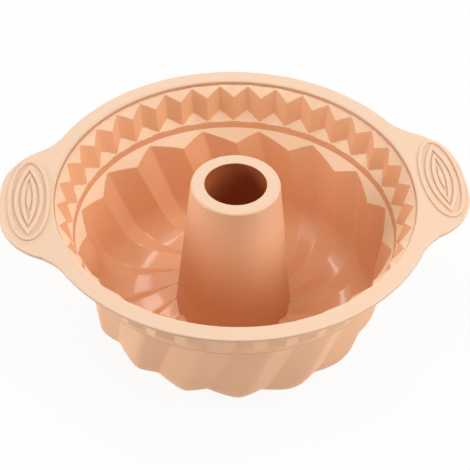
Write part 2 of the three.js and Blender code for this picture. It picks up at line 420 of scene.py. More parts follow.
class SkinGroups:
    """Shader node groups that the silicone finishes share."""

    DRIFT_DETAIL = 3.0
    GRAIN_DETAIL = 4.0
    DRIFT_LOW = 0.3
    DRIFT_HIGH = 0.7

    @staticmethod
    def _start(
        name: str, inputs: dict[str, Socket], outputs: dict[str, Socket]
    ) -> tuple[bpy.types.NodeTree, bpy.types.Node, bpy.types.Node]:
        """Starts a group with its sockets.

        Args:
            name: Name of the group.
            inputs: Kinds of its inputs, by name.
            outputs: Kinds of its outputs, by name.

        Returns:
            The group, the node that gives its inputs and the node that takes its outputs.
        """
        tree = bpy.data.node_groups.new(name, "ShaderNodeTree")
        for way, sockets in (("INPUT", inputs), ("OUTPUT", outputs)):
            for socket, kind in sockets.items():
                tree.interface.new_socket(name=socket, in_out=way, socket_type=kind.value)
        return tree, tree.nodes.new("NodeGroupInput"), tree.nodes.new("NodeGroupOutput")

    @classmethod
    def moulded_skin(cls) -> bpy.types.NodeTree:
        """Fine grain of the tool and a slow drift over the surface, as moulded silicone shows.

        Returns:
            The group, with Mottle, Roughness and Grain out.
        """
        tree, given, result = cls._start(
            "moulded_skin",
            dict.fromkeys(("Drift Scale", "Grain Scale", "Smoothest", "Roughest"), Socket.VALUE),
            dict.fromkeys(("Mottle", "Roughness", "Grain"), Socket.VALUE),
        )
        place = add_node(tree, "TexCoord")
        drift = add_node(tree, "TexNoise", {"Detail": cls.DRIFT_DETAIL})
        grain = add_node(tree, "TexNoise", {"Detail": cls.GRAIN_DETAIL})
        mottle = add_node(tree, "Math", operation="MULTIPLY")
        rough = add_node(tree, "MapRange", {"From Min": cls.DRIFT_LOW, "From Max": cls.DRIFT_HIGH})
        join(
            tree,
            (place, "Object", drift, "Vector"),
            (place, "Object", grain, "Vector"),
            (given, "Drift Scale", drift, "Scale"),
            (given, "Grain Scale", grain, "Scale"),
            (drift, "Fac", mottle, 0),
            (grain, "Fac", mottle, 1),
            (drift, "Fac", rough, "Value"),
            (given, "Smoothest", rough, "To Min"),
            (given, "Roughest", rough, "To Max"),
            (mottle, "Value", result, "Mottle"),
            (rough, "Result", result, "Roughness"),
            (grain, "Fac", result, "Grain"),
        )
        return tree

    @classmethod
    def painted_depth_shading(cls) -> bpy.types.NodeTree:
        """Painted shading: a tint that changes down the mould, mostly darker and deeper orange lower down,
        standing in for the shade and bounce light in the mould's hollows, with the random mottle mixed in.

        Returns:
            The group, with Colour out.
        """
        tree, given, result = cls._start(
            "painted_depth_shading",
            {
                **dict.fromkeys(("Tint", "Painted Shading Tint"), Socket.COLOUR),
                **dict.fromkeys(("Top", "Foot", "Mottle", "Mottle Share"), Socket.VALUE),
            },
            {"Colour": Socket.COLOUR},
        )
        place = add_node(tree, "TexCoord")
        parts = add_node(tree, "SeparateXYZ")
        depth = add_node(tree, "MapRange", interpolation_type="SMOOTHSTEP")
        spots = add_node(tree, "Math", operation="MULTIPLY_ADD")
        mix = add_node(tree, "Mix", data_type="RGBA")
        # Painted shading: the tint turns into the painted shading tint from the top down to the foot, with
        # the mottle added.
        join(
            tree,
            (place, "Object", parts, "Vector"),
            (parts, "Z", depth, "Value"),
            (given, "Top", depth, "From Min"),
            (given, "Foot", depth, "From Max"),
            (given, "Mottle", spots, 0),
            (given, "Mottle Share", spots, 1),
            (depth, "Result", spots, 2),
            (spots, "Value", mix, "Factor"),
            (given, "Tint", mix, "A"),
            (given, "Painted Shading Tint", mix, "B"),
            (mix, "Result", result, "Colour"),
        )
        return tree


@dataclass(frozen=True)
class SiliconeFinish:
    """A finish of the silicone: its tint, the gloss of the tool that shaped it, and its grain.

    Tints are linear colours, heights are in millimetres above the table, scales are in waves per metre, and
    the grain's height is in millimetres. The tint turns into the painted shading tint from the top down to
    the
    foot: painted shade that darkens the colour lower down, where the mould's hollows lie in shade, and on the
    lands painted light that pales it.
    """

    name: str
    tint: Colour
    painted_shading_tint: Colour
    top: float
    foot: float
    smoothest: float
    roughest: float
    grain_scale: float = 900.0
    grain_height: float = 0.015
    mottle_share: float = 0.3
    drift_scale: float = 18.0
    index_of_refraction: float = 1.41
    specular: float = 0.5

    def material(self, skin: bpy.types.NodeTree, depth: bpy.types.NodeTree) -> bpy.types.Material:
        """Builds the finish as a node material.

        Args:
            skin: The group that gives the moulded skin.
            depth: The group that gives the tint, with its painted shading down the mould.

        Returns:
            The material.
        """
        material = bpy.data.materials.new(self.name)
        material.use_nodes = True
        tree = material.node_tree
        shader = tree.nodes["Principled BSDF"]
        set_inputs(shader, {"IOR": self.index_of_refraction, "Specular IOR Level": self.specular})
        surface_values = {
            "Drift Scale": self.drift_scale,
            "Grain Scale": self.grain_scale,
            "Smoothest": self.smoothest,
            "Roughest": self.roughest,
        }
        colour_values = {
            "Tint": (*self.tint, 1.0),
            "Painted Shading Tint": (*self.painted_shading_tint, 1.0),
            "Top": self.top * MM,
            "Foot": self.foot * MM,
            "Mottle Share": self.mottle_share,
        }
        surface = add_node(tree, "Group", surface_values, node_tree=skin)
        colour = add_node(tree, "Group", colour_values, node_tree=depth)
        bump = add_node(tree, "Bump", {"Strength": 1.0, "Distance": self.grain_height * MM})
        join(
            tree,
            (surface, "Mottle", colour, "Mottle"),
            (colour, "Colour", shader, "Base Color"),
            (surface, "Roughness", shader, "Roughness"),
            (surface, "Grain", bump, "Height"),
            (bump, "Normal", shader, "Normal"),
        )
        return material


class Finish(Enum):
    """The finishes of the mould, named for where they show.

    The silicone is one material; these copies differ in tint to paint light and shade: the cavity's deeper
    orange and the tube's darker foot are painted shade, the lands are paler painted light, and the step,
    mouth, flank and bore finishes are darker painted shade. The outside turns a little darker towards the
    bottom.
    """

    # Painted shade: a deeper, more saturated orange than the rim's, standing in for the bounce light and
    # shade inside the cavity.
    CAVITY = SiliconeFinish(
        "silicone_satin_inside_painted_shade", tint=(0.945, 0.525, 0.292), painted_shading_tint=(0.90, 0.495, 0.275),
        top=80.0, foot=0.0, smoothest=0.09, roughest=0.14,
        grain_scale=700.0, grain_height=0.006, mottle_share=0.5,
    )
    # Painted shade: the tube's colour darkens strongly towards its foot, deep in the cavity.
    TUBE = SiliconeFinish(
        "silicone_satin_tube_painted_shade", tint=(0.95, 0.61, 0.395), painted_shading_tint=(0.65, 0.34, 0.185),
        top=100.0, foot=20.0, smoothest=0.30, roughest=0.38,
        grain_scale=700.0, grain_height=0.008, mottle_share=0.2,
    )
    OUTSIDE = SiliconeFinish(
        "silicone_matte_outside", tint=(0.93, 0.565, 0.345), painted_shading_tint=(0.88, 0.485, 0.275),
        top=100.0, foot=-60.0, smoothest=0.48, roughest=0.58,
        grain_scale=1100.0, grain_height=0.12, mottle_share=0.9,
    )
    RIM = SiliconeFinish(
        "silicone_satin_rim", tint=(0.91, 0.635, 0.45), painted_shading_tint=(0.89, 0.58, 0.39),
        top=110.0, foot=0.0, smoothest=0.42, roughest=0.50,
    )
    # Painted light: faces that look up are paler than the cavity, and paler still lower down, as if lit from
    # above.
    LAND = SiliconeFinish(
        "silicone_satin_land_painted_light", tint=(0.96, 0.63, 0.415), painted_shading_tint=(0.98, 0.72, 0.485),
        top=92.0, foot=80.0, smoothest=0.36, roughest=0.44, grain_height=0.01,
    )
    # Painted shade: a darker, deeper orange on the step below the teeth, where it lies in shade.
    CREASE = SiliconeFinish(
        "silicone_step_painted_shade", tint=(0.86, 0.44, 0.24), painted_shading_tint=(0.84, 0.41, 0.22),
        top=100.0, foot=40.0, smoothest=0.40, roughest=0.48, grain_height=0.01,
    )
    # Painted shade: a dark line on the sloped foot of the mouth, under the rim's edge.
    LINE = SiliconeFinish(
        "silicone_mouth_painted_shade", tint=(0.68, 0.36, 0.21), painted_shading_tint=(0.64, 0.33, 0.19),
        top=100.0, foot=90.0, smoothest=0.44, roughest=0.52, grain_height=0.01,
    )
    # Painted shade: a darker tone on the sides of the grip ridges and on the outer edges of the rim and
    # handles.
    GROOVE = SiliconeFinish(
        "silicone_flank_painted_shade", tint=(0.78, 0.51, 0.34), painted_shading_tint=(0.74, 0.47, 0.31),
        top=110.0, foot=90.0, smoothest=0.46, roughest=0.54,
    )
    # Painted shade: a very dark red for the bore, which lies in deep shade, a little lighter towards its
    # foot.
    BORE = SiliconeFinish(
        "silicone_bore_painted_shade", tint=(0.50, 0.138, 0.044), painted_shading_tint=(0.86, 0.25, 0.075),
        top=106.0, foot=50.0, smoothest=0.48, roughest=0.58, mottle_share=0.2, specular=0.12,
    )


class Wardrobe:
    """The materials of the mould, made once for each finish."""

    def __init__(self) -> None:
        """Makes the materials."""
        skin = SkinGroups.moulded_skin()
        depth = SkinGroups.painted_depth_shading()
        self.materials = {finish: finish.value.material(skin, depth) for finish in Finish}

    def dress(self, piece: bpy.types.Object, finish_of: Callable[[bpy.types.MeshPolygon], Finish]) -> None:
        """Gives every face of a piece its finish.

        Args:
            piece: The piece.
            finish_of: Gives the finish of a face.
        """
        mesh = piece.data
        mesh.materials.clear()
        slots: dict[Finish, int] = {}
        for face in mesh.polygons:
            finish = finish_of(face)
            if finish not in slots:
                slots[finish] = len(mesh.materials)
                mesh.materials.append(self.materials[finish])
            face.material_index = slots[finish]


@dataclass(frozen=True)
class MouldPart(ABC):
    """A part of the mould, which builds its pieces and dresses them."""

    sizes: MouldSizes

    OUTSIDE_SLOPE = -0.005

    @abstractmethod
    def build(self) -> dict[Zone, bpy.types.Object]:
        """Builds the pieces of the part, by the zone that each stands for."""

    @abstractmethod
    def finish_of(self, face: bpy.types.MeshPolygon) -> Finish:
        """The finish of a face of the part."""

    def faces_down(self, face: bpy.types.MeshPolygon) -> bool:
        """Tells whether a face looks down, as drafted faces do outside the mould and in the bore."""
        return face.normal.z <= self.OUTSIDE_SLOPE

    def make(self, wardrobe: Wardrobe) -> None:
        """Builds the part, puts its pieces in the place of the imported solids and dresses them.

        Args:
            wardrobe: The materials.
        """
        for zone, piece in self.build().items():
            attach(piece, BODY)
            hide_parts(zone.value)
            wardrobe.dress(piece, self.finish_of)
            log.info("%s: %d faces", piece.name, len(piece.data.polygons))


@dataclass(frozen=True)
class WallPart(MouldPart):
    """A part of the wall. Its lands are the faces above the floor that slope or lie flat, which get a paler
    painted light.
    """

    LAND_SLOPE = 0.45
    LAND_HEIGHT = 45.0

    def finish_of(self, face: bpy.types.MeshPolygon) -> Finish:
        """Tells the outside, the lands, the crease at the step and the cavity apart. The lands get a paler
        painted light and the crease at the step a darker painted shade.

        Args:
            face: The face.

        Returns:
            Its finish.
        """
        if self.faces_down(face):
            return Finish.OUTSIDE
        # Faces that look up get the paler painted light of the lands.
        if face.normal.z > self.LAND_SLOPE and face.center.z > self.LAND_HEIGHT * MM:
            return Finish.LAND
        # The step under the teeth gets a darker painted shade.
        in_step = self.sizes.step[1] * MM < face.center.z < self.sizes.edge_foot[1] * MM
        return Finish.CREASE if in_step else Finish.CAVITY


@dataclass(frozen=True)
class FlutedBowl(WallPart):
    """Wall and floor with twisted flutes, from the foot of the step to the root of the tube.

    Across a flute the columns of the mesh lie at shares of the way from its valley to its crest. Outside,
    the valleys are ridges, the crests are grooves and the corner above the foot is rounder.
    """

    flutes: int = 16
    flute_depth: float = 4.5
    flute_lean: float = 16.0
    floor_lean: float = 27.0
    flute_start: float = 7.4
    flute_slope: float = 50.0
    shoulder: float = 0.6
    head_drop: float = 1.7
    floor_radius: float = 25.0
    corner_relief: float = 3.5
    floor_rise: float = 5.0
    floor_height: float = 1.7
    root_overlap: float = 3.0
    wall_rows: int = 8
    corner_rows: int = 14
    floor_rows: int = 10
    ridge_radius: float = 2.6
    groove_radius: float = 1.2
    valley_radius: float = 1.2
    crest_radius: float = 0.7
    head_radius: float = 0.5
    edge_facets: int = 4
    sharp_angle: float = 50.0

    SHARES = (0.0, 0.5, 1.0, 2.0 / 3.0, 1.0 / 3.0)
    VALLEY = SHARES.index(0.0)
    CREST = SHARES.index(1.0)

    def meridian(self, offset: float, head: float, relief: float = 0.0) -> list[Place]:
        """Points down the wall and along the floor, moved square to the wall.

        Args:
            offset: How far the points are moved outwards.
            head: Height of the first point.
            relief: How much larger the corner's radius is, between the same wall and floor.

        Returns:
            The points, from the head to the root of the tube.
        """
        draft = math.radians(self.sizes.wall_draft)
        sweep = math.pi / 2 - draft
        valley_top = (self.sizes.step[0] - self.shoulder, self.sizes.step[1])
        corner = self.sizes.drafted(valley_top, self.floor_height)[0]
        lowest = corner - self.floor_radius * math.tan(sweep / 2)
        reach = lowest - self.sizes.tube_radius(self.floor_height + self.floor_rise)
        dish = (reach**2 + self.floor_rise**2) / (2 * self.floor_rise)
        outer = self.floor_radius + offset + relief
        inner = dish + offset
        inset = relief * math.tan(sweep / 2)
        centre = (lowest - inset, self.floor_height + self.floor_radius + relief)
        foot = (centre[0] + outer * math.cos(draft), centre[1] - outer * math.sin(draft))
        top = (foot[0] + (head - foot[1]) * math.tan(draft), head)
        points = [between(top, foot, row / self.wall_rows) for row in range(self.wall_rows)]
        for row in range(self.corner_rows):
            angle = draft + sweep * row / self.corner_rows
            points.append((centre[0] + outer * math.cos(angle), centre[1] - outer * math.sin(angle)))
        start = math.asin(inset / inner)
        root = math.asin(reach / dish)
        for row in range(self.floor_rows + 1):
            angle = start + (root - start) * row / self.floor_rows
            points.append(
                (lowest - inner * math.sin(angle), self.floor_height + dish - inner * math.cos(angle))
            )
        return points

    def turns(self, points: Sequence[Place]) -> list[float]:
        """How far the flutes have turned at each point of a meridian.

        Args:
            points: Points of the meridian.

        Returns:
            The turn at each point, clockwise seen from above.
        """
        turned = [0.0]
        for row in range(1, len(points)):
            on_floor = min(max((row - self.wall_rows) / self.corner_rows, 0.0), 1.0)
            lean = self.flute_lean + (self.floor_lean - self.flute_lean) * on_floor
            length = math.dist(points[row], points[row - 1])
            middle = (points[row][0] + points[row - 1][0]) / 2
            turned.append(turned[-1] + length * slope(lean) / middle)
        return turned

    def rings(self, valley: Sequence[Place], crest: Sequence[Place]) -> list[Ring]:
        """Rings of one skin, from the head of the flutes to the root of the tube.

        Args:
            valley: Meridian along a valley.
            crest: Meridian along a crest.

        Returns:
            One ring for each point of the meridians, with what is below the table trimmed into lands.
        """
        start = math.radians(self.flute_start)
        turned = self.turns(valley)
        rings = []
        for row, low in enumerate(valley):
            places = []
            for share in self.SHARES:
                radius, height = between(low, crest[row], share)
                places.append((radius, max(height, 0.0)))
            rings.append(Ring(tuple(places), start - turned[row]))
        return rings

    def hidden(self, ring: Ring) -> Ring:
        """A ring a little further in, inside the wall of the tube."""
        return Ring(tuple((radius - self.root_overlap, height) for radius, height in ring.places), ring.turn)

    def build(self) -> dict[Zone, bpy.types.Object]:
        """Builds the bowl.

        Returns:
            The piece, by its zone.
        """
        sizes, wall = self.sizes, self.sizes.wall
        head = sizes.step[1] - self.head_drop
        crest_fall = self.flute_depth / math.cos(math.radians(sizes.wall_draft))
        crest_head = head - crest_fall / (1.0 / slope(self.flute_slope) - slope(sizes.wall_draft))
        inside = self.rings(self.meridian(0.0, head), self.meridian(-self.flute_depth, crest_head))
        outside = self.rings(
            self.meridian(wall, head - wall, self.corner_relief),
            self.meridian(wall - self.flute_depth, crest_head - wall, self.corner_relief),
        )
        start = math.radians(self.flute_start)
        loft = RingLoft(Zone.BOWL.form, self.flutes * len(self.SHARES), Ring.circle(*sizes.step, start))
        inner_rows = len(inside)
        for ring in [*inside, self.hidden(inside[-1]), self.hidden(outside[-1]), *reversed(outside)]:
            loft.to(ring)
        loft.to(Ring.circle(sizes.ledge[0] + wall, sizes.step[1], start))
        last = loft.rows - 1

        def rounded(first: GridPoint, second: GridPoint) -> float:
            """Rounds crests and valleys inside, ridges and grooves outside, and the heads of the flutes.

            Args:
                first: Row and column of an edge's first end.
                second: Row and column of its second end.

            Returns:
                The edge's share of the bevel.
            """
            rows = {first[0], second[0]}
            if rows & {0, inner_rows + 1, inner_rows + 2, last}:
                return 0.0
            if first[0] == second[0]:
                return self.head_radius / self.ridge_radius if first[0] in (1, last - 1) else 0.0
            inner_skin = max(rows) <= inner_rows
            column = first[1] % len(self.SHARES)
            if column == self.VALLEY:
                return self.valley_radius / self.ridge_radius if inner_skin else 1.0
            if column == self.CREST:
                return (self.crest_radius if inner_skin else self.groove_radius) / self.ridge_radius
            return 0.0

        piece = loft.close(rounded)
        round_edges(piece, self.ridge_radius, self.edge_facets)
        shade_smooth(piece, self.sharp_angle)
        flatten_broad_faces(piece)
        return {Zone.BOWL: piece}


@dataclass(frozen=True)
class ZigzagBand(WallPart):
    """Ring of upright teeth between the rim and the step above the flutes.

    The rows of the mesh run from the mouth down the inside to the step, out to a bead, and up the outside,
    where the teeth are a share as deep.
    """

    teeth: int = 36
    edge_radius: float = 0.5
    outer_share: float = 0.9
    bead: float = 1.2
    edge_facets: int = 2
    sharp_angle: float = 35.0

    COLUMNS_PER_TOOTH = 4
    INNER_TEETH = {1, 2}
    OUTER_TEETH = {7, 8}
    ROUNDED_ROWS = {1, 2, 3, 6, 7, 8}

    def ring(self, notch: Place, edge: Place, moved: float = 0.0) -> Ring:
        """A zigzag ring, moved out and down by a thickness.

        Args:
            notch: Place of the notches.
            edge: Place of the tooth edges.
            moved: How far the ring is moved out and down.

        Returns:
            The ring.
        """
        middle = between(notch, edge, 0.5)
        places = (notch, middle, edge, middle)
        return Ring(tuple((radius + moved, height - moved) for radius, height in places))

    def build(self) -> dict[Zone, bpy.types.Object]:
        """Builds the band.

        Returns:
            The piece, by its zone.
        """
        sizes, wall = self.sizes, self.sizes.wall
        bead = sizes.ledge[0] + wall + self.bead
        outer_top = between(sizes.notch_top, sizes.edge_top, self.outer_share)
        outer_foot = between(sizes.notch_foot, sizes.edge_foot, self.outer_share)
        mouth = Ring.circle(sizes.mouth_radius, sizes.band_top)
        loft = RingLoft(Zone.BAND.form, self.teeth * self.COLUMNS_PER_TOOTH, mouth)
        for ring in [
            self.ring(sizes.notch_top, sizes.edge_top),
            self.ring(sizes.notch_foot, sizes.edge_foot),
            Ring.circle(*sizes.ledge),
            Ring.circle(*sizes.step),
            Ring.circle(bead, sizes.step[1]),
            Ring.circle(bead, sizes.step[1] + self.bead),
            self.ring(sizes.notch_foot, outer_foot, wall),
            self.ring(sizes.notch_top, outer_top, wall),
            Ring.circle(sizes.mouth_radius + wall, sizes.band_top),
        ]:
            loft.to(ring)

        def rounded(first: GridPoint, second: GridPoint) -> float:
            """Rounds the teeth and the ledge inside, and the teeth and the bead outside.

            Args:
                first: Row and column of an edge's first end.
                second: Row and column of its second end.

            Returns:
                The edge's share of the bevel.
            """
            rows = {first[0], second[0]}
            if len(rows) == 1:
                return 1.0 if rows <= self.ROUNDED_ROWS else 0.0
            upright = rows in (self.INNER_TEETH, self.OUTER_TEETH)
            return 1.0 if upright and first[1] % 2 == 0 else 0.0

        piece = loft.close(rounded)
        round_edges(piece, self.edge_radius, self.edge_facets)
        shade_smooth(piece, self.sharp_angle)
        return {Zone.BAND: piece}


@dataclass(frozen=True)
class CentreTube(MouldPart):
    """Tapered tube with a hole through it."""

    foot: float = 4.5
    columns: int = 128
    edge_radius: float = 1.4
    bore_edge_radius: float = 0.4
    edge_facets: int = 4
    sharp_angle: float = 40.0

    TOP_SLOPE = 0.9

    def finish_of(self, face: bpy.types.MeshPolygon) -> Finish:
        """Tells the flat top, which looks like the rim, the bore and the outside of the tube apart. The bore
        gets a dark red painted shade.

        Args:
            face: The face.

        Returns:
            Its finish.
        """
        if face.normal.z > self.TOP_SLOPE:
            return Finish.RIM
        # The bore, whose faces look down, gets a dark red painted shade.
        return Finish.BORE if self.faces_down(face) else Finish.TUBE

    def build(self) -> dict[Zone, bpy.types.Object]:
        """Builds the tube.

        Returns:
            The piece, by its zone.
        """
        sizes = self.sizes
        top, foot, wall = sizes.tube_top, self.foot, sizes.tube_wall
        loft = RingLoft(Zone.TUBE.form, self.columns, Ring.circle(sizes.tube_radius(foot), foot))
        loft.to(Ring.circle(sizes.tube_radius(top), top))
        loft.to(Ring.circle(sizes.tube_radius(top) - wall, top))
        loft.to(Ring.circle(sizes.tube_radius(foot) - wall, foot))

        def rounded(first: GridPoint, second: GridPoint) -> float:
            """Rounds the outer edge of the top, and both ends of the bore a little.

            Args:
                first: Row and column of an edge's first end.
                second: Row and column of its second end.

            Returns:
                The edge's share of the bevel.
            """
            if first[0] != second[0] or first[0] == 0:
                return 0.0
            return 1.0 if first[0] == 1 else self.bore_edge_radius / self.edge_radius

        piece = loft.close(rounded)
        round_edges(piece, self.edge_radius, self.edge_facets)
        shade_smooth(piece, self.sharp_angle)
        flatten_broad_faces(piece)
        return {Zone.TUBE: piece}


@dataclass(frozen=True)
class GripOvals:
    """Raised ovals on a handle: a round one, two pointed ones and a spine along the middle.

    shift is how far the ovals of both handles lie to +X and +Y of the middle of the grips.
    """

    sizes: MouldSizes
    centre: float = 5.6
    shift: Place = (1.5, 2.0)
    lengths: tuple[float, ...] = (70.0, 61.5, 46.5)
    breadth: float = 25.8
    spine_length: float = 20.0
    ridge: float = 2.9
    pitch: float = 4.0
    height: float = 1.0
    sunk: float = 1.0
    edge_radius: float = 0.6
    edge_facets: int = 3
    merge_distance: float = 0.02
    points: int = 96

    def oval(self, half_length: float, half_breadth: float, pointed: bool) -> list[Place]:
        """Outline of an oval round the middle of the +X handle's grip.

        Args:
            half_length: Half its length, along Y.
            half_breadth: Half its breadth, along X.
            pointed: Whether two arcs that meet in points draw it, in place of an ellipse.

        Returns:
            Its points.
        """
        centre = self.sizes.rim_radius + self.centre
        if not pointed:
            angles = [FULL_TURN * point / self.points for point in range(self.points)]
            return [(centre + half_breadth * math.cos(a), half_length * math.sin(a)) for a in angles]
        radius = (half_length**2 + half_breadth**2) / (2 * half_breadth)
        reach = math.asin(half_length / radius)
        half = self.points // 2
        angles = [reach * (2 * point / half - 1) for point in range(half)]
        right = [(half_breadth - radius + radius * math.cos(a), radius * math.sin(a)) for a in angles]
        left = [(-x, -y) for x, y in right]
        return [(centre + x, y) for x, y in right + left]

    def covers(self, x: float, y: float) -> bool:
        """Tells whether a place on either handle is inside the outermost oval, or just outside it.

        Args:
            x: The place along X.
            y: The place along Y.

        Returns:
            Whether it is.
        """
        margin = self.edge_radius
        along = (abs(x - self.shift[0]) - self.sizes.rim_radius - self.centre) / (self.breadth / 2 + margin)
        across = (y - self.shift[1]) / (self.lengths[0] / 2 + margin)
        return along**2 + across**2 < 1.0

    def raise_ridge(self, *outlines: Sequence[Place]) -> bpy.types.Object:
        """Raises a rounded ridge from one outline, or from the band between two.

        Args:
            outlines: The outline, or the outer and the inner one.

        Returns:
            The ridge, sunk a little into the handle.
        """
        foot = self.sizes.rim_height - self.sunk
        mesh = bpy.data.meshes.new("ridge")
        corners, edges = [], []
        for outline in outlines:
            start = len(corners)
            corners += [(x * MM, y * MM, foot * MM) for x, y in outline]
            edges += [(start + k, start + (k + 1) % len(outline)) for k in range(len(outline))]
        mesh.from_pydata(corners, edges, [])
        ridge = bpy.data.objects.new("ridge", mesh)
        bpy.context.collection.objects.link(ridge)
        activate(ridge)
        bpy.ops.object.mode_set(mode="EDIT")
        bpy.ops.mesh.select_all(action="SELECT")
        if len(outlines) == 1:
            bpy.ops.mesh.edge_face_add()
        else:
            bpy.ops.mesh.bridge_edge_loops()
        bpy.ops.mesh.select_all(action="SELECT")
        rise = (self.height + self.sunk) * MM
        bpy.ops.mesh.extrude_region_move(TRANSFORM_OT_translate={"value": (0.0, 0.0, rise)})
        bpy.ops.mesh.region_to_loop()
        bpy.ops.mesh.bevel(
            offset=self.edge_radius * MM, segments=self.edge_facets, affect="EDGES", clamp_overlap=True
        )
        bpy.ops.mesh.select_all(action="SELECT")
        bpy.ops.mesh.remove_doubles(threshold=self.merge_distance * MM)
        bpy.ops.mesh.normals_make_consistent(inside=False)
        bpy.ops.object.mode_set(mode="OBJECT")
        return ridge

    def build(self) -> list[bpy.types.Object]:
        """Builds the ridges of the +X handle.

        Returns:
            The ridges.
        """
        ridges = []
        for turn, length in enumerate(self.lengths):
            half_length = length / 2
            half_breadth = self.breadth / 2 - turn * self.pitch
            pointed = turn > 0
            tip = 2 * self.ridge if pointed else self.ridge
            outer = self.oval(half_length, half_breadth, pointed)
            inner = self.oval(half_length - tip, half_breadth - self.ridge, pointed)
            ridges.append(self.raise_ridge(outer, inner))
        ridges.append(self.raise_ridge(self.oval(self.spine_length / 2, self.ridge / 2, True)))
        return ridges


@dataclass(frozen=True)
class RimAndHandles(MouldPart):
    """Flat rim with two grip handles, cut apart where each handle leaves the rim."""

    grips: GripOvals
    length: float = 21.5
    half_width: float = 45.4
    taper: float = 21.0
    corner: float = 40.0
    root_fillet: float = 33.0
    columns: int = 720
    edge_radius: float = 0.7
    mouth_edge_radius: float = 1.3
    handle_root: float = 1.8
    mouth_flare: float = 0.8
    edge_facets: int = 4
    sharp_angle: float = 40.0

    RIDGE_TOP_SLOPE = 0.75
    TOP_SLOPE = 0.5

    def finish_of(self, face: bpy.types.MeshPolygon) -> Finish:
        """Tells the underside, the sides of the ridges, the tops, the mouth's foot and the edges apart. The
        sides of the ridges and the outer edges get a darker painted shade, and the mouth's foot a dark
        painted shade line.

        Args:
            face: The face.

        Returns:
            Its finish.
        """
        if self.faces_down(face):
            return Finish.OUTSIDE
        x, y = face.center.x / MM, face.center.y / MM
        # The sides of the grip ridges get a darker painted shade.
        if face.normal.z < self.RIDGE_TOP_SLOPE and self.grips.covers(x, y):
            return Finish.GROOVE
        if face.normal.z >= self.TOP_SLOPE:
            return Finish.RIM
        # Steep edges get painted shade: a dark line at the mouth, a darker tone on the outer edges.
        inwards = face.normal.x * x + face.normal.y * y < 0.0
        return Finish.LINE if inwards else Finish.GROOVE

    def arc_centre(self, radius: float, outwards: float, distance: float) -> Vector:
        """Centre of an arc that touches a handle's side, at a distance from the axis of the mould.

        Args:
            radius: Radius of the arc.
            outwards: 1 for an arc outside the handle, or -1 for one inside.
            distance: Distance of the centre from the axis.

        Returns:
            The centre.
        """
        taper = math.radians(self.taper)
        along = Vector((math.cos(taper), -math.sin(taper)))
        normal = Vector((math.sin(taper), math.cos(taper)))
        base = Vector((self.sizes.rim_radius, self.half_width)) + normal * radius * outwards
        share = base.dot(along)
        return base + along * (math.sqrt(share**2 - base.length_squared + distance**2) - share)

    def outline(self, angle: float) -> float:
        """Radius of the rim's outline with a handle.

        Args:
            angle: Angle from the handle's middle to one side, in radians.

        Returns:
            The radius.
        """
        rim = self.sizes.rim_radius
        tip = rim + self.length
        taper = math.radians(self.taper)
        normal = Vector((math.sin(taper), math.cos(taper)))
        corner = self.arc_centre(self.corner, -1.0, tip - self.corner)
        root = self.arc_centre(self.root_fillet, 1.0, rim + self.root_fillet)
        ray = Vector((math.cos(angle), math.sin(angle)))
        if angle <= math.atan2(corner.y, corner.x):
            return tip
        if angle >= math.atan2(root.y, root.x):
            return rim
        side_end = corner + normal * self.corner
        side_start = root - normal * self.root_fillet
        if angle <= math.atan2(side_end.y, side_end.x):
            share = ray.dot(corner)
            return share + math.sqrt(share**2 - corner.length_squared + self.corner**2)
        if angle >= math.atan2(side_start.y, side_start.x):
            share = ray.dot(root)
            return share - math.sqrt(share**2 - root.length_squared + self.root_fillet**2)
        return normal.dot(side_end) / normal.dot(ray)

    def blank(self) -> bpy.types.Object:
        """The rim and both handles in one plate with rounded edges.

        Returns:
            The plate.
        """
        sizes = self.sizes
        handle_column = self.columns // 4
        half = self.columns // 2
        step = FULL_TURN / self.columns
        radii = [self.outline(abs(column - handle_column) * step) for column in range(half)]
        mouth_foot = Ring.circle(sizes.mouth_radius - self.mouth_flare, sizes.band_top)
        loft = RingLoft("rim_plate", self.columns, mouth_foot)
        loft.to(Ring.circle(sizes.mouth_radius, sizes.rim_height))
        loft.to(Ring(tuple((radius, sizes.rim_height) for radius in radii)))
        loft.to(Ring(tuple((radius, sizes.band_top) for radius in radii)))

        def rounded(first: GridPoint, second: GridPoint) -> float:
            """Rounds the edge of the mouth, and the outer edges a little.

            Args:
                first: Row and column of an edge's first end.
                second: Row and column of its second end.

            Returns:
                The edge's share of the bevel.
            """
            if first[0] != second[0] or first[0] == 0:
                return 0.0
            return 1.0 if first[0] == 1 else self.edge_radius / self.mouth_edge_radius

        piece = loft.close(rounded)
        round_edges(piece, self.mouth_edge_radius, self.edge_facets)
        return piece

    def add_grips(self, blank: bpy.types.Object) -> None:
        """Joins the raised ovals of both handles to the plate.

        Args:
            blank: The plate.
        """
        shift = Matrix.Translation(Vector((*self.grips.shift, 0.0)) * MM)
        for ridge in self.grips.build():
            for side in Side:
                copy = copy_of(ridge)
                copy.data.transform(shift @ Matrix.Rotation(side.value, 4, "Z"))
                finish_with(blank, "BOOLEAN", operation="UNION", solver="EXACT", object=copy)
                bpy.data.objects.remove(copy)
            bpy.data.objects.remove(ridge)

    def cut(self, blank: bpy.types.Object, name: str, planes: Sequence[Place]) -> bpy.types.Object:
        """Copies the plate and cuts the copy by upright planes across X.

        Args:
            blank: The plate.
            name: Name of the piece.
            planes: Place of each plane, and the sign of the side that stays.

        Returns:
            The piece.
        """
        piece = copy_of(blank)
        piece.name = name
        piece.data.name = name
        activate(piece)
        bpy.ops.object.mode_set(mode="EDIT")
        for place, keep in planes:
            bpy.ops.mesh.select_all(action="SELECT")
            bpy.ops.mesh.bisect(
                plane_co=(place * MM, 0.0, 0.0), plane_no=(keep, 0.0, 0.0), use_fill=True,
                clear_inner=True, clear_outer=False,
            )
        bpy.ops.object.mode_set(mode="OBJECT")
        return piece

